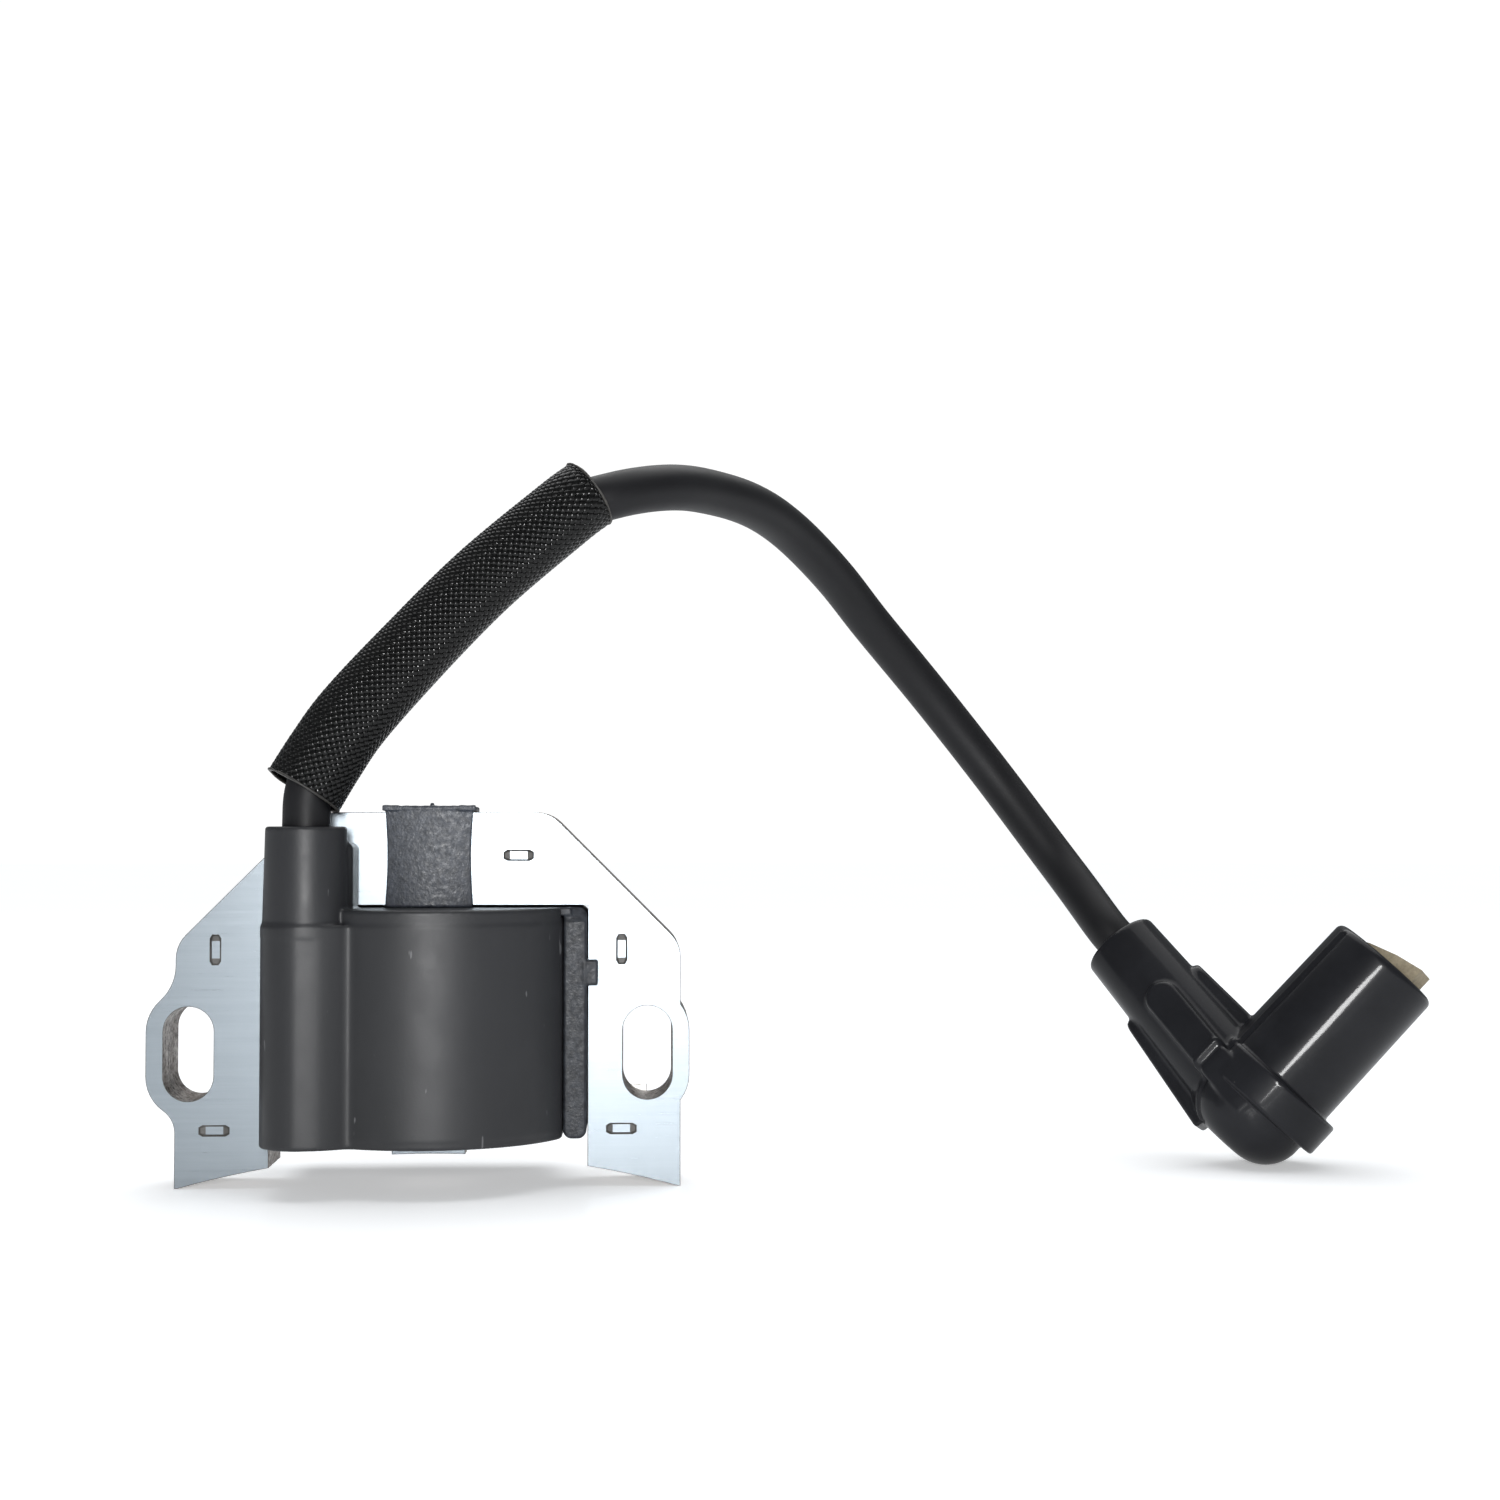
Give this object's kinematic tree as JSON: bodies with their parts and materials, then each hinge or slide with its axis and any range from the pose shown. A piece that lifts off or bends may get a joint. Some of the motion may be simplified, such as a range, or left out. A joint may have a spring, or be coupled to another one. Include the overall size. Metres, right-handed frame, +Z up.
{
  "type": "ignition coil",
  "caption": "Small-engine ignition coil: E-shaped lamination core with slotted ears, potted coil with a lead tower, sleeved high-tension lead and an angled spark plug boot.",
  "frame": {"origin": "midway between the two mounting slots, in the middle of the core's thickness, on the plane that the outer pole tips stand on", "axes": "+X along the line of the mounting slots, from the lead tower's side to the plug boot's side; +Y from the round front of the case through the core to the potted back; +Z up, from the pole tips to the yoke"},
  "size_m": [0.1992, 0.0702, 0.1095],
  "materials": {
    "lamination_steel": "brushed",
    "textured_plastic": "matt",
    "case_plastic": "satin",
    "copper_wire": "satin",
    "bobbin_nylon": "satin",
    "resin": "gloss",
    "board_laminate": "satin",
    "component_black": "matt",
    "resistor_body": "satin",
    "tinned_steel": "satin",
    "terminal_brass": "satin",
    "lead_rubber": "matt",
    "braid": "satin",
    "boot_rubber": "satin",
    "spring_steel": "satin",
    "fibre_liner": "matt"
  },
  "bodies": {
    "coil": {"core_stack": "lamination_steel", "bobbin_frame": "textured_plastic", "saddle_strap": "textured_plastic", "coil_case": "case_plastic", "primary_winding": "copper_wire", "secondary_bobbin": "bobbin_nylon", "secondary_winding": "copper_wire", "potting_resin": "resin", "trigger_board": "board_laminate", "power_transistor": "component_black", "trigger_resistor": "resistor_body", "trigger_diode": "component_black", "ground_strip": "tinned_steel", "stop_terminal": "terminal_brass", "tower_terminal": "terminal_brass", "link_wire": "copper_wire", "tower_seal": "resin", "lead_jacket": "lead_rubber", "lead_conductor": "copper_wire", "braided_sleeve": "braid"},
    "boot": {"plug_boot": "boot_rubber", "contact_pin": "terminal_brass", "plug_clip": "spring_steel", "mouth_liner": "fibre_liner"}
  },
  "joints": [
    {"name": "boot_swivel", "type": "hinge", "parent": "coil", "child": "boot", "pos_m": [0.1135, 0.029, 0.03405], "axis": [-0.5239, 0.4657, 0.7131], "range_deg": [-60, 60]}
  ]
}
